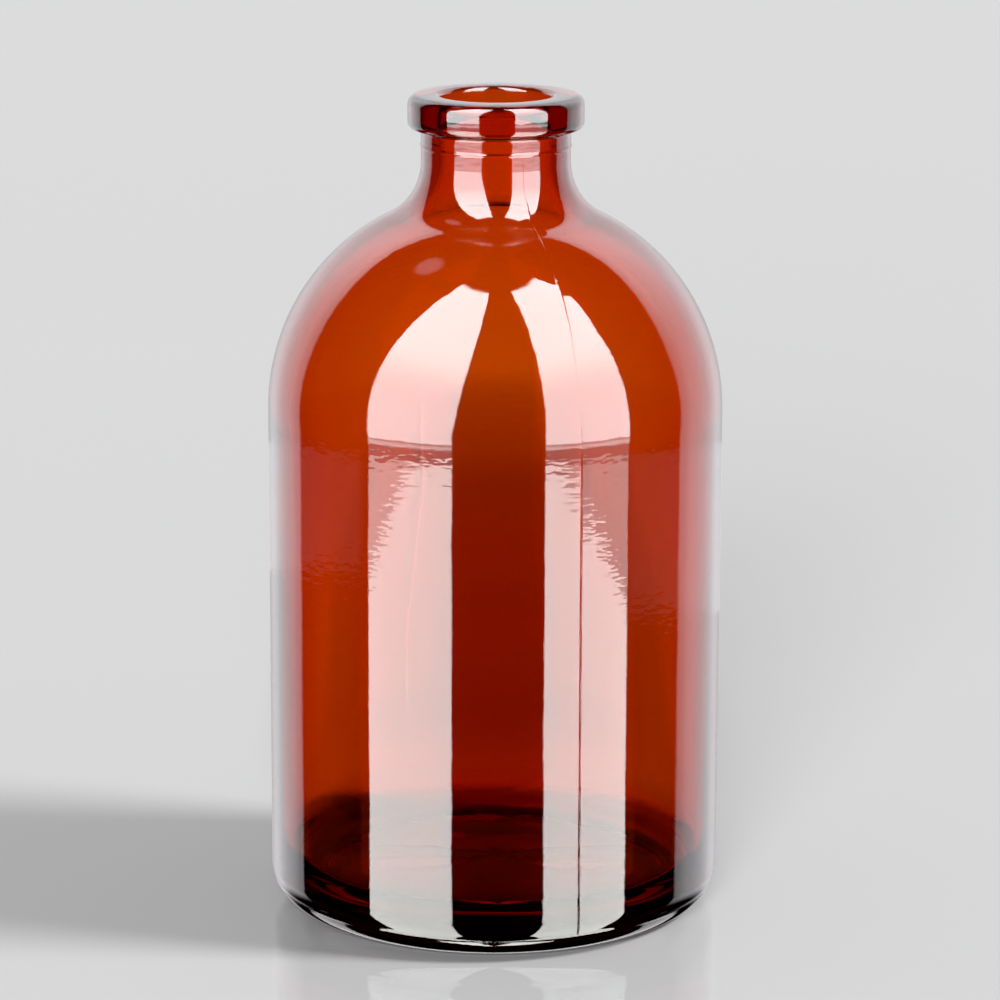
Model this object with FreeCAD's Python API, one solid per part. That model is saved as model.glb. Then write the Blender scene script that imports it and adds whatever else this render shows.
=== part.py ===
import FreeCAD, Part
import math
import os
from FreeCAD import Vector

# A moulded amber glass injection bottle, open at the mouth, in millimetres.
# It is one piece of glass: base, straight body, domed shoulder, flared neck and crimp flange.
# The origin is the centre of the circle that the bottle stands on, with +Z up its axis.
# The front of the bottle faces -Y, and its right-hand side is +X.

# Body and shoulder
body_diameter = 52.0
shoulder_height = 58.5
dome_radius = 24.7
wall_thickness = 2.0
shoulder_thickness = 1.6
thinning_height = 45.0

# Base
heel_radius = 4.7
bearing_width = 1.3
bearing_inner_round = 2.0
push_up_height = 1.8
base_thickness = 3.0
floor_crown = 0.9
floor_corner_radius = 5.0

# Neck and crimp flange
flare_radius = 7.0
neck_diameter = 17.0
neck_length = 3.75
neck_flange_round = 0.4
bore_diameter = 12.6
inner_flare_radius = 8.5
flange_diameter = 20.0
flange_height = 3.85
flange_top_round = 1.1
flange_bottom_round = 0.8
mouth_round = 0.6

# Lines left where the parts of the mould meet
base_line_height = 2.8
neck_line_drop = 1.9
mould_line_width = 0.4
mould_line_rise = 0.12
seam_width = 0.3
seam_rise = 0.1
seam_root_depth = 0.5
seam_angle = 21.5

body_radius = body_diameter / 2
neck_radius = neck_diameter / 2
bore_radius = bore_diameter / 2
flange_radius = flange_diameter / 2
cavity_radius = body_radius - wall_thickness


def point(radius, height):
    """A point of the half section, given by its radius and its height."""
    return Vector(radius, 0, height)


def point_on(centre, radius, angle):
    """A point of the half section at an angle in radians from the outward direction."""
    return centre + point(radius * math.cos(angle), radius * math.sin(angle))


def arc(centre, radius, start, end):
    """A round stretch of the half section between two angles in radians."""
    middle = (start + end) / 2
    return Part.Arc(
        point_on(centre, radius, start),
        point_on(centre, radius, middle),
        point_on(centre, radius, end),
    ).toShape()


def line(start, end):
    """A straight stretch of the half section."""
    return Part.makeLine(start, end)


def crown_radius(edge_radius, edge_round, crown):
    """Radius of a shallow crown that runs tangent into a rounded edge."""
    return (edge_radius ** 2 + (edge_round - crown) ** 2 - edge_round ** 2) / (2 * crown)


def crown_slope(edge_radius, edge_round, crown):
    """Angle by which the rounded edge turns before it runs into the crown."""
    return math.asin(edge_radius / (crown_radius(edge_radius, edge_round, crown) + edge_round))


class Shoulder:
    """The convex dome and the concave flare above it, tangent to each other and to both walls."""

    def __init__(self, wall_radius, dome, flare, throat_radius):
        self.dome = dome
        self.flare = flare
        self.dome_centre = point(wall_radius - dome, shoulder_height)
        reach = throat_radius + flare - self.dome_centre.x
        rise = math.sqrt((dome + flare) ** 2 - reach ** 2)
        self.flare_centre = self.dome_centre + point(reach, rise)
        self.angle = math.atan2(rise, reach)

    def edges(self, start):
        """The two arcs, from a start angle on the dome up to the throat."""
        return [
            arc(self.dome_centre, self.dome, start, self.angle),
            arc(self.flare_centre, self.flare, self.angle + math.pi, math.pi),
        ]


outer_shoulder = Shoulder(body_radius, dome_radius, flare_radius, neck_radius)
inner_shoulder = Shoulder(
    body_radius - shoulder_thickness,
    dome_radius - shoulder_thickness,
    inner_flare_radius,
    bore_radius,
)

flange_underside = outer_shoulder.flare_centre.z + neck_length
total_height = flange_underside + flange_height
neck_line_height = flange_underside - neck_line_drop

heel_centre = point(body_radius - heel_radius, heel_radius)
base_line_angle = math.asin((base_line_height - heel_radius) / heel_radius)
bearing_inner_radius = heel_centre.x - bearing_width
thinning_rise = shoulder_height - thinning_height
floor_edge_radius = cavity_radius - floor_corner_radius
floor_edge_height = push_up_height + base_thickness - floor_crown


def base_underside():
    """The hollowed underside and the flat ring that the bottle stands on, from the axis outwards."""
    radius = crown_radius(bearing_inner_radius, bearing_inner_round, push_up_height)
    slope = crown_slope(bearing_inner_radius, bearing_inner_round, push_up_height)
    crown_centre = point(0, push_up_height - radius)
    round_centre = point(bearing_inner_radius, bearing_inner_round)
    up = math.pi / 2
    return [
        arc(crown_centre, radius, up, up - slope),
        arc(round_centre, bearing_inner_round, -up - slope, -up),
        line(point(bearing_inner_radius, 0), point(heel_centre.x, 0)),
    ]


def heel():
    """The rounded foot of the wall, with the fine raised line where the base plate met the mould."""
    half_width = mould_line_width / 2 / heel_radius
    below = base_line_angle - half_width
    above = base_line_angle + half_width
    line_start = point_on(heel_centre, heel_radius, below)
    line_crest = point_on(heel_centre, heel_radius + mould_line_rise, base_line_angle)
    line_end = point_on(heel_centre, heel_radius, above)
    return [
        arc(heel_centre, heel_radius, -math.pi / 2, below),
        line(line_start, line_crest),
        line(line_crest, line_end),
        arc(heel_centre, heel_radius, above, 0),
    ]


def neck():
    """The straight neck, with its fine raised ring and the small round under the flange."""
    bottom = point(neck_radius, outer_shoulder.flare_centre.z)
    ring_bottom = point(neck_radius, neck_line_height - mould_line_width / 2)
    ring_crest = point(neck_radius + mould_line_rise, neck_line_height)
    ring_top = point(neck_radius, neck_line_height + mould_line_width / 2)
    round_start = point(neck_radius, flange_underside - neck_flange_round)
    round_centre = round_start + point(neck_flange_round, 0)
    return [
        line(bottom, ring_bottom),
        line(ring_bottom, ring_crest),
        line(ring_crest, ring_top),
        line(ring_top, round_start),
        arc(round_centre, neck_flange_round, math.pi, math.pi / 2),
    ]


def flange():
    """The crimp flange, from its underside round the rim to the flat sealing face and the mouth."""
    under_start = point(neck_radius + neck_flange_round, flange_underside)
    under_end = point(flange_radius - flange_bottom_round, flange_underside)
    low_centre = under_end + point(0, flange_bottom_round)
    high_centre = point(flange_radius - flange_top_round, total_height - flange_top_round)
    land_outer = high_centre + point(0, flange_top_round)
    mouth_centre = point(bore_radius + mouth_round, total_height - mouth_round)
    land_inner = mouth_centre + point(0, mouth_round)
    return [
        line(under_start, under_end),
        arc(low_centre, flange_bottom_round, -math.pi / 2, 0),
        line(low_centre + point(flange_bottom_round, 0), high_centre + point(flange_top_round, 0)),
        arc(high_centre, flange_top_round, 0, math.pi / 2),
        line(land_outer, land_inner),
        arc(mouth_centre, mouth_round, math.pi / 2, math.pi),
    ]


def thinning_radius():
    """Radius of the long arc by which the wall thins, tangent to the straight wall and the inner dome."""
    dome = inner_shoulder.dome
    reach = cavity_radius - inner_shoulder.dome_centre.x
    return (reach ** 2 + thinning_rise ** 2 - dome ** 2) / (2 * (dome - reach))


def cavity():
    """The inside, from the mouth down the bore to the crowned floor at the axis."""
    mouth_edge = point(bore_radius, total_height - mouth_round)
    throat = point(bore_radius, inner_shoulder.flare_centre.z)
    radius = crown_radius(floor_edge_radius, floor_corner_radius, floor_crown)
    slope = crown_slope(floor_edge_radius, floor_corner_radius, floor_crown)
    corner_centre = point(floor_edge_radius, floor_edge_height + floor_corner_radius)
    crown_centre = point(0, floor_edge_height + floor_crown - radius)
    up = math.pi / 2
    thinning = thinning_radius()
    thinning_centre = point(cavity_radius + thinning, thinning_height)
    turn = math.asin(thinning_rise / (thinning + inner_shoulder.dome))
    wall_top = point(cavity_radius, thinning_height)
    wall_bottom = point(cavity_radius, corner_centre.z)
    return [
        line(mouth_edge, throat),
        *reversed(inner_shoulder.edges(-turn)),
        arc(thinning_centre, thinning, math.pi - turn, math.pi),
        line(wall_top, wall_bottom),
        arc(corner_centre, floor_corner_radius, 0, -up - slope),
        arc(crown_centre, radius, up - slope, up),
    ]


def turned_glass():
    """The bottle's wall, turned from its half section."""
    wall = line(point(body_radius, heel_radius), point(body_radius, shoulder_height))
    axis = line(point(0, floor_edge_height + floor_crown), point(0, push_up_height))
    section = [
        *base_underside(),
        *heel(),
        wall,
        *outer_shoulder.edges(0),
        *neck(),
        *flange(),
        *cavity(),
        axis,
    ]
    face = Part.Face(Part.Wire(section))
    return face.revolve(Vector(0, 0, 0), Vector(0, 0, 1), 360)


def seam_edges(offset):
    """The bottle's outline between the two cross lines of the mould, moved out by an offset."""
    dome_centre = outer_shoulder.dome_centre
    flare_centre = outer_shoulder.flare_centre
    angle = outer_shoulder.angle
    return [
        arc(heel_centre, heel_radius + offset, base_line_angle, 0),
        line(point(body_radius + offset, heel_radius), point(body_radius + offset, shoulder_height)),
        arc(dome_centre, dome_radius + offset, 0, angle),
        arc(flare_centre, flare_radius - offset, angle + math.pi, math.pi),
        line(point(neck_radius + offset, flare_centre.z), point(neck_radius + offset, neck_line_height)),
    ]


def seam():
    """One fine raised seam, in the plane of the half section."""
    inside = seam_edges(-seam_root_depth)
    outside = seam_edges(seam_rise)
    foot = line(
        point_on(heel_centre, heel_radius - seam_root_depth, base_line_angle),
        point_on(heel_centre, heel_radius + seam_rise, base_line_angle),
    )
    head = line(
        point(neck_radius - seam_root_depth, neck_line_height),
        point(neck_radius + seam_rise, neck_line_height),
    )
    face = Part.Face(Part.Wire([*inside, head, *reversed(outside), foot]))
    face.translate(Vector(0, -seam_width / 2, 0))
    return face.extrude(Vector(0, seam_width, 0))


def bottle():
    """The whole bottle: the turned wall and the two seams, half a turn apart."""
    glass = turned_glass()
    for side in (0, 180):
        ridge = seam()
        ridge.rotate(Vector(0, 0, 0), Vector(0, 0, 1), seam_angle - 90 + side)
        glass = glass.fuse(ridge)
    return glass.removeSplitter()


os.makedirs("parts", exist_ok=True)
bottle().exportStep("parts/bottle.step")
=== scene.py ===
import math

import bpy
from mathutils import Euler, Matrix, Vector, noise


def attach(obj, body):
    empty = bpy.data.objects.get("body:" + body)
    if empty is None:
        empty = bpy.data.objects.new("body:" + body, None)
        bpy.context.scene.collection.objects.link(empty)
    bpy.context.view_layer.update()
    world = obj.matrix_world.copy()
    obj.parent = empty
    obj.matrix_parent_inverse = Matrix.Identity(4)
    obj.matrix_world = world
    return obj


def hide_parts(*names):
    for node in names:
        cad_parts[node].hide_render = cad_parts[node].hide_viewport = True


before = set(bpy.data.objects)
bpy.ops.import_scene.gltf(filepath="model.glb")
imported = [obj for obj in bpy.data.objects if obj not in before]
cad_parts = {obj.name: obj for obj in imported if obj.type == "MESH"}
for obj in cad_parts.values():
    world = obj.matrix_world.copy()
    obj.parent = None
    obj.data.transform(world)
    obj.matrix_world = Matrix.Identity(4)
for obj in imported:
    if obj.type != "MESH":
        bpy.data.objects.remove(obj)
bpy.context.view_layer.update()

# Sizes are in metres. The bottle stands on z = 0, its axis is Z and its front faces -Y.
MM = 0.001
QUARTER = math.pi / 2

# Body, wall and shoulder
BODY_RADIUS = 26.0 * MM
WALL = 2.0 * MM
SHOULDER_HEIGHT = 58.5 * MM
DOME_RADIUS = 24.7 * MM
SHOULDER_WALL = 1.6 * MM
THINNING_HEIGHT = 45.0 * MM

# Base
HEEL_RADIUS = 4.7 * MM
BEARING_WIDTH = 1.3 * MM
BEARING_INNER_ROUND = 2.0 * MM
PUSH_UP_HEIGHT = 1.8 * MM
BASE_THICKNESS = 3.0 * MM
FLOOR_CROWN = 0.9 * MM
FLOOR_CORNER_RADIUS = 5.0 * MM

# Neck and crimp flange
FLARE_RADIUS = 7.0 * MM
INNER_FLARE_RADIUS = 8.5 * MM
NECK_RADIUS = 8.5 * MM
NECK_LENGTH = 3.75 * MM
NECK_FLANGE_ROUND = 0.4 * MM
BORE_RADIUS = 6.3 * MM
FLANGE_RADIUS = 10.0 * MM
FLANGE_HEIGHT = 3.85 * MM
FLANGE_TOP_ROUND = 1.1 * MM
FLANGE_BOTTOM_ROUND = 0.8 * MM
MOUTH_ROUND = 0.6 * MM

# Lines left where the parts of the mould meet
BASE_LINE_HEIGHT = 2.8 * MM
NECK_LINE_DROP = 1.9 * MM
MOULD_LINE_HALF_WIDTH = 0.2 * MM
MOULD_LINE_RISE = 0.12 * MM
SEAM_HALF_WIDTH = 0.1 * MM
SEAM_FOOT_HALF_WIDTH = 0.13 * MM
SEAM_RISE = 0.045 * MM
SEAM_RISE_ON_SHOULDER = 0.018 * MM
SEAM_ANGLE = math.radians(21.5 - 90)

# Unevenness of the blown inner face: a fine one everywhere, and broad lobes that fade out under the shoulder
FINE_WAVE = 0.07 * MM
FINE_WAVE_TURN = 1.6
FINE_WAVE_HEIGHT = 22.0 * MM
FOURFOLD_LOBES = 0.25 * MM
TWOFOLD_LOBES = -0.35 * MM
LOBES_END = 56.0 * MM
LOBES_FADE = 16.0 * MM
WAVE_CALM_RADIUS = 10.0 * MM

# Mesh
COLUMNS = 240
SEAM_COLUMNS = (-6, -3, -2, -1, 0, 1, 2, 3, 6)
CLEAR_COLUMNS = 1.6
BORE_STEPS = 8

CAVITY_RADIUS = BODY_RADIUS - WALL
INNER_DOME_RADIUS = DOME_RADIUS - SHOULDER_WALL


# The half section, as lists of (radius, height) points

def arc(centre, radius, start, end, steps):
    """Points round an arc between two angles, which are measured from the outward direction."""
    angles = (start + (end - start) * i / steps for i in range(steps + 1))
    return [(centre[0] + radius * math.cos(a), centre[1] + radius * math.sin(a)) for a in angles]


def line(start, end, steps):
    """Evenly spaced points from start to end."""
    return [
        tuple(s + (e - s) * i / steps for s, e in zip(start, end))
        for i in range(steps + 1)
    ]


def crown(edge_radius, edge_round, height):
    """Radius of a shallow crown tangent to a rounded edge, and the angle by which the edge turns."""
    radius = (edge_radius ** 2 + (edge_round - height) ** 2 - edge_round ** 2) / (2 * height)
    return radius, math.asin(edge_radius / (radius + edge_round))


def shoulder(wall_radius, dome, flare, throat_radius):
    """Centres of the dome and of the flare above it, and the angle at which they meet."""
    centre = (wall_radius - dome, SHOULDER_HEIGHT)
    reach = throat_radius + flare - centre[0]
    rise = math.sqrt((dome + flare) ** 2 - reach ** 2)
    return centre, (centre[0] + reach, centre[1] + rise), math.atan2(rise, reach)


def joined(*parts):
    """One list of points, without the doubled ones where the parts meet."""
    points = []
    for part in parts:
        for p in part:
            if not points or math.dist(p, points[-1]) > 0.001 * MM:
                points.append(p)
    return points


dome_centre, flare_centre, meeting = shoulder(BODY_RADIUS, DOME_RADIUS, FLARE_RADIUS, NECK_RADIUS)
inner_dome_centre, inner_flare_centre, inner_meeting = shoulder(
    BODY_RADIUS - SHOULDER_WALL, INNER_DOME_RADIUS, INNER_FLARE_RADIUS, BORE_RADIUS
)
thinning_rise = SHOULDER_HEIGHT - THINNING_HEIGHT
thinning_reach = CAVITY_RADIUS - inner_dome_centre[0]
thinning_radius = (
    (thinning_reach ** 2 + thinning_rise ** 2 - INNER_DOME_RADIUS ** 2)
    / (2 * (INNER_DOME_RADIUS - thinning_reach))
)
thinning_angle = math.atan2(thinning_rise, thinning_reach + thinning_radius)
flange_underside = flare_centre[1] + NECK_LENGTH
total_height = flange_underside + FLANGE_HEIGHT
neck_line_height = flange_underside - NECK_LINE_DROP


def base_points():
    """The hollowed underside and the ring that the bottle stands on, from the axis outwards."""
    heel_x = BODY_RADIUS - HEEL_RADIUS
    inner = heel_x - BEARING_WIDTH
    radius, slope = crown(inner, BEARING_INNER_ROUND, PUSH_UP_HEIGHT)
    return joined(
        arc((0, PUSH_UP_HEIGHT - radius), radius, QUARTER, QUARTER - slope, 12),
        arc((inner, BEARING_INNER_ROUND), BEARING_INNER_ROUND, -QUARTER - slope, -QUARTER, 6),
        line((inner, 0), (heel_x, 0), 2),
    )


def wall_points():
    """The outside from the heel to the underside of the flange."""
    heel = (BODY_RADIUS - HEEL_RADIUS, HEEL_RADIUS)
    round_centre = (NECK_RADIUS + NECK_FLANGE_ROUND, flange_underside - NECK_FLANGE_ROUND)
    return joined(
        arc(heel, HEEL_RADIUS, -QUARTER, 0, 40),
        line((BODY_RADIUS, HEEL_RADIUS), (BODY_RADIUS, SHOULDER_HEIGHT), 30),
        arc(dome_centre, DOME_RADIUS, 0, meeting, 60),
        arc(flare_centre, FLARE_RADIUS, meeting + math.pi, math.pi, 22),
        line((NECK_RADIUS, flare_centre[1]), (NECK_RADIUS, round_centre[1]), 28),
        arc(round_centre, NECK_FLANGE_ROUND, math.pi, QUARTER, 4),
    )


def flange_points():
    """The crimp flange, from its underside round the rim to the mouth."""
    low = (FLANGE_RADIUS - FLANGE_BOTTOM_ROUND, flange_underside + FLANGE_BOTTOM_ROUND)
    high = (FLANGE_RADIUS - FLANGE_TOP_ROUND, total_height - FLANGE_TOP_ROUND)
    mouth = (BORE_RADIUS + MOUTH_ROUND, total_height - MOUTH_ROUND)
    return joined(
        line((NECK_RADIUS + NECK_FLANGE_ROUND, flange_underside), (low[0], flange_underside), 1),
        arc(low, FLANGE_BOTTOM_ROUND, -QUARTER, 0, 8),
        line((FLANGE_RADIUS, low[1]), (FLANGE_RADIUS, high[1]), 2),
        arc(high, FLANGE_TOP_ROUND, 0, QUARTER, 8),
        line((high[0], total_height), (mouth[0], total_height), 2),
        arc(mouth, MOUTH_ROUND, QUARTER, math.pi, 8),
    )


def cavity_points():
    """The inside, from the mouth down to the crowned floor at the axis."""
    edge = CAVITY_RADIUS - FLOOR_CORNER_RADIUS
    edge_height = PUSH_UP_HEIGHT + BASE_THICKNESS - FLOOR_CROWN
    radius, slope = crown(edge, FLOOR_CORNER_RADIUS, FLOOR_CROWN)
    corner = (edge, edge_height + FLOOR_CORNER_RADIUS)
    floor_centre = (0, edge_height + FLOOR_CROWN - radius)
    thinning_centre = (CAVITY_RADIUS + thinning_radius, THINNING_HEIGHT)
    return joined(
        line((BORE_RADIUS, total_height - MOUTH_ROUND), (BORE_RADIUS, inner_flare_centre[1]), BORE_STEPS),
        arc(inner_flare_centre, INNER_FLARE_RADIUS, math.pi, inner_meeting + math.pi, 20),
        arc(inner_dome_centre, INNER_DOME_RADIUS, inner_meeting, -thinning_angle, 32),
        arc(thinning_centre, thinning_radius, math.pi - thinning_angle, math.pi, 10),
        line((CAVITY_RADIUS, THINNING_HEIGHT), (CAVITY_RADIUS, corner[1]), 20),
        arc(corner, FLOOR_CORNER_RADIUS, 0, -QUARTER - slope, 14),
        arc(floor_centre, radius, QUARTER - slope, QUARTER, 12),
    )


# The glass as a mesh

def hump(distance, half_width):
    """A smooth ridge: 1 in the middle and 0 from half_width outwards."""
    t = min(1.0, abs(distance) / half_width)
    return (1 - t * t) ** 2


def column_offsets():
    """The columns, as (angle, distance along the surface from the seam), with None away from the seams."""
    columns = []
    step = 2 * math.pi / COLUMNS
    for i in range(COLUMNS):
        angle = SEAM_ANGLE + step * i
        from_seam = (angle - SEAM_ANGLE + QUARTER) % math.pi - QUARTER
        if abs(from_seam) > CLEAR_COLUMNS * step:
            columns.append((angle, None))
        elif abs(from_seam) < 1e-6:
            columns.extend((angle, SEAM_HALF_WIDTH * s / 3) for s in SEAM_COLUMNS)
    return columns


def waviness(angle, height):
    """How far the blown inner face stands inwards of its true surface."""
    x, y = math.cos(angle) * FINE_WAVE_TURN, math.sin(angle) * FINE_WAVE_TURN
    fine = noise.noise(Vector((x, y, height / FINE_WAVE_HEIGHT))) * FINE_WAVE
    lobes = FOURFOLD_LOBES * math.cos(4 * angle) + TWOFOLD_LOBES * math.cos(2 * angle)
    return fine + lobes * min(1.0, max(0.0, (LOBES_END - height) / LOBES_FADE))


def ring_lift(height):
    """How far the two cross lines of the mould lift the outside at one height."""
    crest = BASE_LINE_HEIGHT if height < HEEL_RADIUS else neck_line_height
    return hump(height - crest, MOULD_LINE_HALF_WIDTH) * MOULD_LINE_RISE


def seam_lift(offset, height):
    """How far a seam lifts the outside, between the two cross lines of the mould."""
    if offset is None or not BASE_LINE_HEIGHT <= height <= neck_line_height:
        return 0.0
    rise = SEAM_RISE if height < SHOULDER_HEIGHT else SEAM_RISE_ON_SHOULDER
    return hump(offset, SEAM_FOOT_HALF_WIDTH) * rise


def turned_rows():
    """The mesh's vertices, and each section point's row of vertex numbers."""
    base = base_points()
    outside = joined(base, wall_points(), flange_points())
    points = joined(outside, cavity_points())
    columns = column_offsets()
    below_bore = len(outside) + BORE_STEPS
    last = len(points) - 1
    verts, rows = [], []
    for i, (r, z) in enumerate(points):
        if i in (0, last):
            rows.append([len(verts)])
            verts.append((0, 0, z))
            continue
        (r0, z0), (r1, z1) = points[i - 1], points[i + 1]
        length = math.dist((r0, z0), (r1, z1))
        normal = ((z1 - z0) / length, (r0 - r1) / length)
        on_wall = len(base) <= i < len(outside) and r > NECK_RADIUS - 0.01 * MM and z < flange_underside
        row = []
        for angle, offset in columns:
            a = angle if offset is None else angle + offset / max(r, NECK_RADIUS)
            lift = 0.0
            if on_wall:
                lift = max(ring_lift(z), seam_lift(offset, z))
            elif i >= below_bore:
                lift = waviness(a, z) * min(1.0, r / WAVE_CALM_RADIUS)
            radius = r + normal[0] * lift
            row.append(len(verts))
            verts.append((radius * math.cos(a), radius * math.sin(a), z + normal[1] * lift))
        rows.append(row)
    return verts, rows


def turned_mesh(name):
    """The glass as one closed mesh, with the two seams and the cross lines of the mould raised on it."""
    verts, rows = turned_rows()
    faces = []
    for low, high in zip(rows, rows[1:]):
        n = max(len(low), len(high))
        for j in range(n):
            k = (j + 1) % n
            if len(low) == 1:
                faces.append((low[0], high[k], high[j]))
            elif len(high) == 1:
                faces.append((low[j], low[k], high[0]))
            else:
                faces.append((low[j], low[k], high[k], high[j]))
    mesh = bpy.data.meshes.new(name)
    mesh.from_pydata(verts, [], faces)
    mesh.validate()
    mesh.polygons.foreach_set("use_smooth", [True] * len(mesh.polygons))
    mesh.update()
    return mesh


# Nodes

class Nodes:
    """Short calls that add nodes to one tree and link them."""

    def __init__(self, tree):
        self.tree = tree
        tree.nodes.clear()

    def add(self, kind, **settings):
        node = self.tree.nodes.new(kind)
        for key, value in settings.items():
            setattr(node, key, value)
        return node

    def set(self, socket, value):
        if isinstance(value, bpy.types.NodeSocket):
            self.tree.links.new(value, socket)
        else:
            socket.default_value = value

    def math(self, operation, *values):
        node = self.add("ShaderNodeMath", operation=operation)
        for socket, value in zip(node.inputs, values):
            self.set(socket, value)
        return node.outputs[0]

    def ramp(self, value, start, end, low=0.0, high=1.0, kind="SMOOTHSTEP"):
        """From low at start to high at end, and level beyond them."""
        node = self.add("ShaderNodeMapRange", interpolation_type=kind)
        inputs = ("Value", value), ("From Min", start), ("From Max", end), ("To Min", low), ("To Max", high)
        for name, v in inputs:
            self.set(node.inputs[name], v)
        return node.outputs[0]

    def slope(self, value, start, end):
        """A straight ramp between two points, each given as (value, result)."""
        return self.ramp(value, start[0], end[0], start[1], end[1], "LINEAR")

    def ease(self, value, start, end):
        """A smooth ramp between two points, each given as (value, result)."""
        return self.ramp(value, start[0], end[0], start[1], end[1])

    def step(self, value, edge, soft):
        """0 below an edge and 1 above it, with a soft change of a given half width."""
        return self.ramp(value, self.plus(edge, -soft), self.plus(edge, soft))

    def drop(self, value, edge, soft):
        """1 below an edge and 0 above it, with a soft change of a given half width."""
        return self.ramp(value, self.plus(edge, -soft), self.plus(edge, soft), 1.0, 0.0)

    def times(self, *values):
        product = values[0]
        for value in values[1:]:
            product = self.math("MULTIPLY", product, value)
        return product

    def plus(self, *values):
        total = values[0]
        for value in values[1:]:
            total = self.math("ADD", total, value)
        return total

    def rest(self, value):
        """What is left of 1."""
        return self.math("SUBTRACT", 1.0, value)

    def mixed(self, factor, first, second):
        """A colour between two others."""
        node = self.add("ShaderNodeMix", data_type="RGBA")
        for name, v in (("Factor", factor), ("A", first), ("B", second)):
            self.set(node.inputs[name], v)
        return node.outputs["Result"]

    def coordinates(self, vector):
        """The three numbers of a vector."""
        split = self.add("ShaderNodeSeparateXYZ")
        self.set(split.inputs[0], vector)
        return split.outputs


# Materials

AMBER_DEPTH = (0.968, 0.66, 0.0, 1)
AMBER_DENSITY = 2200.0
GLASS_IOR = 1.52
CLEAR_TINT = (1.0, 1.0, 1.0, 1)
CLOUD_TINT = (1.0, 0.93, 0.86, 1)
CLOUD_SCALE = 45.0
FLANGE_TINT = (0.8, 0.8, 0.86, 1)
HEEL_TINT = (0.2, 0.15, 0.15, 1)
HEEL_TINT_INNER_RADIUS = 20.5 * MM
HEEL_TINT_OUTER_RADIUS = 22.0 * MM
HEEL_TINT_FULL_HEIGHT = 4.0 * MM
HEEL_TINT_TOP = 6.0 * MM
TINT_EDGE = 0.1 * MM

# Each ripple of the outside: how many to the metre across, how much closer they lie upwards, and how high
LEVEL_RIPPLE = (700.0, 2.5, 0.0035 * MM)
UPRIGHT_RIPPLE = (800.0, 0.12, 0.0045 * MM)

FLOOR_TONE = (0.85, 0.85, 0.86, 1)
# The colour of the shadow painted on the floor behind the bottle
PAINTED_SHADOW_TONE = (0.4, 0.4, 0.41, 1)
FLOOR_ROUGHNESS = 0.05

# A shadow painted into the floor's colour behind the bottle, deepening its own shadow there, as ramps
# between two points that are each (distance, depth)
PAINTED_SHADOW_CORE = ((4.0 * MM, 0.7), (22.0 * MM, 0.0))
PAINTED_SHADOW_SIDES = ((24.0 * MM, 0.3), (33.0 * MM, 0.0))
PAINTED_SHADOW_START = ((30.0 * MM, 0.0), (80.0 * MM, 1.0))
PAINTED_SHADOW_END = ((190.0 * MM, 1.0), (290.0 * MM, 0.0))
FLOOR_HALF_WIDTH = 6.0
FLOOR_DROP = 0.02 * MM


def rippled_normal(n, place):
    """The surface's normal with both ripples on it."""
    normal = None
    for scale, closeness, height in (LEVEL_RIPPLE, UPRIGHT_RIPPLE):
        mapping = n.add("ShaderNodeMapping")
        n.set(mapping.inputs["Vector"], place)
        mapping.inputs["Scale"].default_value = (1.0, 1.0, closeness)
        ripple = n.add("ShaderNodeTexNoise")
        n.set(ripple.inputs["Vector"], mapping.outputs["Vector"])
        ripple.inputs["Scale"].default_value = scale
        ripple.inputs["Detail"].default_value = 1.0
        bump = n.add("ShaderNodeBump")
        bump.inputs["Strength"].default_value = 1.0
        bump.inputs["Distance"].default_value = height
        n.set(bump.inputs["Height"], ripple.outputs["Fac"])
        if normal:
            n.set(bump.inputs["Normal"], normal)
        normal = bump.outputs["Normal"]
    return normal


def glass_tint(n, place):
    """A faint cloudy tint, deeper in the flange, where the glass is thick, and dark in the heel."""
    cloud = n.add("ShaderNodeTexNoise")
    n.set(cloud.inputs["Vector"], place)
    cloud.inputs["Scale"].default_value = CLOUD_SCALE
    cloud.inputs["Detail"].default_value = 2.0
    x, y, z = n.coordinates(place)
    from_axis = n.math("SQRT", n.plus(n.times(x, x), n.times(y, y)))
    in_flange = n.step(z, flange_underside, TINT_EDGE)
    in_heel = n.times(
        n.ramp(z, HEEL_TINT_FULL_HEIGHT, HEEL_TINT_TOP, 1.0, 0.0),
        n.ramp(from_axis, HEEL_TINT_INNER_RADIUS, HEEL_TINT_OUTER_RADIUS),
    )
    tint = n.mixed(cloud.outputs["Fac"], CLEAR_TINT, CLOUD_TINT)
    tint = n.mixed(in_flange, tint, FLANGE_TINT)
    return n.mixed(in_heel, tint, HEEL_TINT)


def glass_material():
    """Amber moulded glass: clear, coloured by depth, with the fine ripple that a mould leaves."""
    material = bpy.data.materials.new("amber_glass")
    material.use_nodes = True
    n = Nodes(material.node_tree)
    place = n.add("ShaderNodeTexCoord").outputs["Object"]
    shader = n.add("ShaderNodeBsdfPrincipled")
    n.set(shader.inputs["Base Color"], glass_tint(n, place))
    shader.inputs["Roughness"].default_value = 0.0
    shader.inputs["IOR"].default_value = GLASS_IOR
    shader.inputs["Transmission Weight"].default_value = 1.0
    n.set(shader.inputs["Normal"], rippled_normal(n, place))
    depth = n.add("ShaderNodeVolumeAbsorption")
    depth.inputs["Color"].default_value = AMBER_DEPTH
    depth.inputs["Density"].default_value = AMBER_DENSITY
    out = n.add("ShaderNodeOutputMaterial")
    n.set(out.inputs["Surface"], shader.outputs[0])
    n.set(out.inputs["Volume"], depth.outputs[0])
    return material


def painted_floor_shadow(n):
    """How deep the shadow painted into the floor's colour is: full in a soft patch right behind the bottle,
    and 0 elsewhere.
    """
    x, y, z = n.coordinates(n.add("ShaderNodeTexCoord").outputs["Object"])
    aside = n.math("ABSOLUTE", x)
    return n.times(
        n.plus(n.ease(aside, *PAINTED_SHADOW_CORE), n.ease(aside, *PAINTED_SHADOW_SIDES)),
        n.ease(y, *PAINTED_SHADOW_START),
        n.ease(y, *PAINTED_SHADOW_END),
    )


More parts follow.
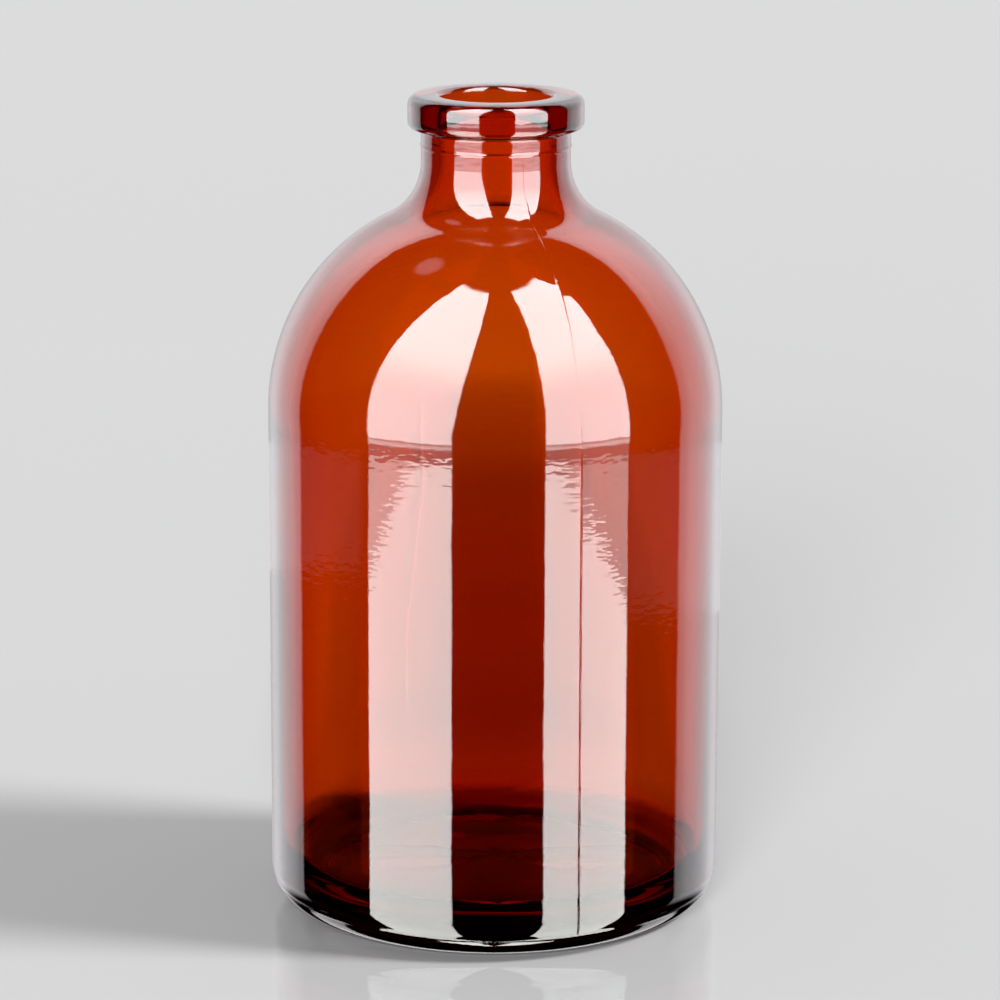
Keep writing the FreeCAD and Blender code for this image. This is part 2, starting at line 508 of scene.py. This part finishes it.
def floor_material():
    """A plain pale glossy floor, with a shadow painted into its colour behind the bottle. The rays that the
    bottle's glass mirrors pass through it to the world.
    """
    material = bpy.data.materials.new("pale_floor")
    material.use_nodes = True
    n = Nodes(material.node_tree)
    shader = n.add("ShaderNodeBsdfPrincipled")
    # The floor's colour turns to the painted shadow tone in a patch behind the bottle
    n.set(shader.inputs["Base Color"], n.mixed(painted_floor_shadow(n), FLOOR_TONE, PAINTED_SHADOW_TONE))
    shader.inputs["Roughness"].default_value = FLOOR_ROUGHNESS
    shader.inputs["Specular IOR Level"].default_value = 0.5
    mirrored = n.math("GREATER_THAN", n.add("ShaderNodeLightPath").outputs["Glossy Depth"], 0.5)
    mix = n.add("ShaderNodeMixShader")
    n.set(mix.inputs[0], mirrored)
    n.set(mix.inputs[1], shader.outputs[0])
    n.set(mix.inputs[2], n.add("ShaderNodeBsdfTransparent").outputs[0])
    out = n.add("ShaderNodeOutputMaterial")
    n.set(out.inputs["Surface"], mix.outputs[0])
    return material


# The world. Its angles are in degrees: azimuth from the front, positive to the right, and elevation.
# A pair of points in brackets gives the ends of a ramp, each as (angle, value).

# Outlines of the two tall soft boxes in front of the bottle
LEFT_INNER_EDGE = ((-3.0, -21.5), (65.0, -10.0))
LEFT_OUTER_EDGE = ((22.0, -66.5), (71.0, -59.0))
RIGHT_INNER_EDGE = 25.0
RIGHT_OUTER_EDGE = ((40.0, 70.5), (64.0, 80.0))
BOX_TOP = ((73.5, 1.0), (76.0, 0.0))
BOX_SOFTNESS = 0.6

# Below the low line the boxes are bright under a slanted edge and shaded above it
LOW_LINE = -12.67
LOW_LINE_SOFTNESS = 0.05
LEFT_SLANT = (((-68.7, -14.5), (-45.0, -13.05)), ((-45.0, 0.0), (-34.0, 0.25)))
RIGHT_SLANT = (((29.0, -12.8), (42.0, -13.3)), ((42.0, 0.0), (70.0, -1.4)))
SLANT_SOFTNESS = 0.05
LEFT_SHADED_LEVEL = 6.3
RIGHT_SHADED_LEVEL = 4.6
LOW_LEVEL = 12.4

# Above the low line the boxes' level is the sum of these steps, from the bottom up
HIGH_LEVEL_STEPS = (
    ((-11.2, 1.6), (-10.0, 8.0)),
    ((-9.7, 0.0), (-9.0, -1.6)),
    ((-9.0, 0.0), (-8.7, -2.9)),
    ((-8.3, 0.0), (-7.6, 9.5)),
    ((15.0, 0.0), (40.0, 5.0)),
)

# The pale surroundings behind the bottle, which the glass mirrors along its outline
SURROUND_LEFT_START = 114.5
SURROUND_RIGHT_START = 105.5
SURROUND_TURN = 25.0
SURROUND_TURN_HEIGHT = 47.0
SURROUND_LEVEL = ((10.0, 2.0), (45.0, 3.2))
SURROUND_SHARP_SHARE = 0.75
SURROUND_SHARP_WIDTH = 3.0
SURROUND_SOFT_WIDTH = 9.0
SURROUND_FADE_START = 145.0
SURROUND_FADE_END = 172.0
SURROUND_FAR_LEVEL = ((-8.0, 0.34), (6.0, 0.6))
SURROUND_BOTTOM = ((-30.0, 0.0), (-22.0, 1.0))

# A low pale band under the surroundings, and a faint veil beside the soft boxes
BAND_SIDE = ((110.0, 0.0), (130.0, 1.6))
BAND_BOTTOM = ((-50.0, 0.0), (-48.0, 1.0))
BAND_TOP = ((-38.0, 1.0), (-36.0, 0.0))
VEIL_SIDE = ((66.0, 0.0), (76.0, 0.22))
VEIL_LEFT_FOOT = -14.3
VEIL_RIGHT_FOOT = -14.82
VEIL_SOFTNESS = 0.03

# Round lights, as (azimuth, elevation, outer half angle, inner half angle, strength)
GLINT = (-114, 64, 6.5, 3, 1.4)
FRONT_LAMP = (-8, 19, 15, 8, 16.8)
RIGHT_LAMP = (80, 40, 8, 5, 46.0)

# What is left of the mirrored light inside the glass, the boxes' cast, and the level of the plain light
BOXES_INSIDE = 0.08
SURROUND_INSIDE = 0.18
UPPER_RED_LOSS = 0.07
LOWER_BLUE_LOSS = 0.035
SURROUND_GREEN_LOSS = 0.03
AMBIENT_LEVEL = 0.17
BACKDROP_LEVEL = 0.75
BACKDROP_LOSS_ABOVE = ((12.0, 0.0), (24.0, -0.72))


class Studio(Nodes):
    """The world's nodes, with the direction and the kind of each ray that reaches it."""

    def __init__(self, tree):
        super().__init__(tree)
        self.direction = self.add("ShaderNodeTexCoord").outputs["Generated"]
        x, y, z = self.coordinates(self.direction)
        self.azimuth = self.math("DEGREES", self.math("ARCTAN2", x, self.times(y, -1.0)))
        self.elevation = self.math("DEGREES", self.math("ARCSINE", z))
        self.off_front = self.math("ABSOLUTE", self.azimuth)
        self.on_right = self.math("GREATER_THAN", self.azimuth, 0.0)
        self.below = self.drop(self.elevation, LOW_LINE, LOW_LINE_SOFTNESS)
        paths = self.add("ShaderNodeLightPath").outputs
        self.inside = self.math("GREATER_THAN", paths["Transmission Depth"], 0.5)
        self.mirrored = self.times(
            self.math("GREATER_THAN", paths["Glossy Depth"], 0.5), paths["Is Singular Ray"]
        )
        direct = self.math("LESS_THAN", paths["Diffuse Depth"], 0.5)
        through = self.times(self.plus(paths["Is Transmission Ray"], paths["Is Glossy Ray"]), direct)
        self.seen = self.math("GREATER_THAN", self.plus(paths["Is Camera Ray"], through), 0.5)

    def side(self, left, right):
        """One value on the left of the front and another on its right."""
        return self.plus(self.times(left, self.rest(self.on_right)), self.times(right, self.on_right))

    def share(self, factor, first, second):
        """The first value, or the second where the factor is 1."""
        return self.plus(self.times(first, self.rest(factor)), self.times(second, factor))

    def kept_inside(self, factor):
        """1 outside the glass, and the factor inside it."""
        return self.ramp(self.inside, 0.0, 1.0, 1.0, factor, "LINEAR")

    def toward(self, azimuth, elevation, outer, inner, strength):
        """A round soft light in one direction, fading from its inner to its outer half angle."""
        a, e = math.radians(azimuth), math.radians(elevation)
        dot = self.add("ShaderNodeVectorMath", operation="DOT_PRODUCT")
        self.set(dot.inputs[0], self.direction)
        dot.inputs[1].default_value = (math.sin(a) * math.cos(e), -math.cos(a) * math.cos(e), math.sin(e))
        edges = (math.cos(math.radians(angle)) for angle in (outer, inner))
        return self.ramp(dot.outputs["Value"], *edges, 0.0, strength)

    def box_outlines(self):
        """1 in the directions of the soft boxes and 0 elsewhere, without their tops."""
        left = self.times(
            self.step(self.azimuth, self.slope(self.elevation, *LEFT_OUTER_EDGE), BOX_SOFTNESS),
            self.drop(self.azimuth, self.slope(self.elevation, *LEFT_INNER_EDGE), BOX_SOFTNESS),
        )
        right = self.times(
            self.step(self.azimuth, RIGHT_INNER_EDGE, BOX_SOFTNESS),
            self.drop(self.azimuth, self.slope(self.elevation, *RIGHT_OUTER_EDGE), BOX_SOFTNESS),
        )
        return self.plus(left, right)

    def box_level(self):
        """How bright the soft boxes are at each direction."""
        slant = self.side(
            self.plus(*(self.slope(self.azimuth, *ends) for ends in LEFT_SLANT)),
            self.plus(*(self.slope(self.azimuth, *ends) for ends in RIGHT_SLANT)),
        )
        shaded = self.side(LEFT_SHADED_LEVEL, RIGHT_SHADED_LEVEL)
        low = self.share(self.drop(self.elevation, slant, SLANT_SOFTNESS), shaded, LOW_LEVEL)
        high = self.plus(*(self.ease(self.elevation, *ends) for ends in HIGH_LEVEL_STEPS))
        return self.share(self.below, high, low)

    def surroundings(self):
        """The pale surroundings, which start farther back with height and fade right behind the bottle."""
        height = self.times(self.math("MAXIMUM", self.elevation, 0.0), 1 / SURROUND_TURN_HEIGHT)
        start = self.plus(
            self.ramp(self.azimuth, -1.0, 1.0, SURROUND_LEFT_START, SURROUND_RIGHT_START),
            self.times(self.math("POWER", height, 3.0), SURROUND_TURN),
        )
        level = self.ease(self.elevation, *SURROUND_LEVEL)
        middle = self.plus(start, SURROUND_SHARP_WIDTH)
        end = self.plus(middle, SURROUND_SOFT_WIDTH)
        edge = self.plus(
            self.ramp(self.off_front, start, middle, 0.0, self.times(level, SURROUND_SHARP_SHARE)),
            self.ramp(self.off_front, middle, end, 0.0, self.times(level, 1 - SURROUND_SHARP_SHARE)),
        )
        far_level = self.ease(self.elevation, *SURROUND_FAR_LEVEL)
        fade = self.ramp(self.off_front, SURROUND_FADE_START, SURROUND_FADE_END, 1.0, far_level)
        return self.times(edge, fade, self.ease(self.elevation, *SURROUND_BOTTOM))

    def low_band(self):
        """The low pale band under the surroundings."""
        return self.times(
            self.ease(self.off_front, *BAND_SIDE),
            self.ease(self.elevation, *BAND_BOTTOM),
            self.ease(self.elevation, *BAND_TOP),
        )

    def veil(self):
        """The faint veil beside the soft boxes, between its foot and the low line."""
        foot = self.side(VEIL_LEFT_FOOT, VEIL_RIGHT_FOOT)
        return self.times(
            self.ease(self.off_front, *VEIL_SIDE), self.step(self.elevation, foot, VEIL_SOFTNESS), self.below
        )


def studio_world():
    """The plain light of the scene, and the soft boxes and surroundings that only the glass mirrors."""
    world = bpy.data.worlds.new("studio")
    bpy.context.scene.world = world
    world.use_nodes = True
    n = Studio(world.node_tree)

    outlines = n.box_outlines()
    boxes = n.times(outlines, n.ease(n.elevation, *BOX_TOP), n.box_level())
    around = n.plus(n.surroundings(), n.low_band(), n.veil(), n.toward(*GLINT))
    reflected = n.plus(
        n.times(boxes, n.kept_inside(BOXES_INSIDE)), n.times(around, n.kept_inside(SURROUND_INSIDE))
    )
    lighting = n.plus(n.toward(*FRONT_LAMP), n.toward(*RIGHT_LAMP), AMBIENT_LEVEL)
    backdrop = n.plus(BACKDROP_LEVEL, n.times(n.inside, n.ease(n.elevation, *BACKDROP_LOSS_ABOVE)))
    plain = n.share(n.seen, lighting, backdrop)

    colour = n.add("ShaderNodeCombineColor")
    losses = {
        "Red": n.times(outlines, n.rest(n.below), UPPER_RED_LOSS),
        "Green": n.times(n.rest(outlines), SURROUND_GREEN_LOSS),
        "Blue": n.times(outlines, n.below, LOWER_BLUE_LOSS),
    }
    for channel, loss in losses.items():
        n.set(colour.inputs[channel], n.rest(n.times(loss, n.mirrored)))
    background = n.add("ShaderNodeBackground")
    n.set(background.inputs["Color"], colour.outputs["Color"])
    n.set(background.inputs["Strength"], n.share(n.mirrored, plain, reflected))
    out = n.add("ShaderNodeOutputWorld")
    n.set(out.inputs["Surface"], background.outputs[0])


# The camera, the floor and the bottle

CAMERA_PLACE = (0.57 * MM, -500.33 * MM, 166.75 * MM)
CAMERA_DOWN = 0.2342
CAMERA_ROLL = 0.0028
CAMERA_LENS = 160.785
CAMERA_SENSOR = 36.0


def add_camera():
    """The camera at the photograph's viewing angle."""
    data = bpy.data.cameras.new("camera")
    data.sensor_width = CAMERA_SENSOR
    data.lens = CAMERA_LENS
    data.clip_start = 0.01
    data.clip_end = 50.0
    camera = bpy.data.objects.new("camera", data)
    bpy.context.scene.collection.objects.link(camera)
    tilt = Euler((QUARTER - CAMERA_DOWN, 0, 0)).to_matrix()
    roll = Euler((0, 0, CAMERA_ROLL)).to_matrix()
    camera.matrix_world = (tilt @ roll).to_4x4()
    camera.location = CAMERA_PLACE
    bpy.context.scene.camera = camera


def add_floor():
    """A wide plain floor under the bottle."""
    mesh = bpy.data.meshes.new("floor")
    half = FLOOR_HALF_WIDTH
    corners = [(-half, -half, 0), (half, -half, 0), (half, half, 0), (-half, half, 0)]
    mesh.from_pydata(corners, [], [(0, 1, 2, 3)])
    floor = bpy.data.objects.new("floor", mesh)
    floor.location.z = -FLOOR_DROP
    bpy.context.scene.collection.objects.link(floor)
    mesh.materials.append(floor_material())


def add_bottle():
    """The visible glass, which stands for the CAD node."""
    mesh = turned_mesh("glass_bottle")
    bottle = bpy.data.objects.new("glass_bottle", mesh)
    bpy.context.scene.collection.objects.link(bottle)
    mesh.materials.append(glass_material())
    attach(bottle, "root")
    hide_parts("bottle")


add_camera()
add_floor()
add_bottle()
studio_world()

scene = bpy.context.scene
scene.view_settings.view_transform = "Standard"
scene.cycles.max_bounces = 24
scene.cycles.transmission_bounces = 24
scene.cycles.glossy_bounces = 8
scene.cycles.transparent_max_bounces = 16
scene.cycles.caustics_refractive = False
scene.cycles.caustics_reflective = False
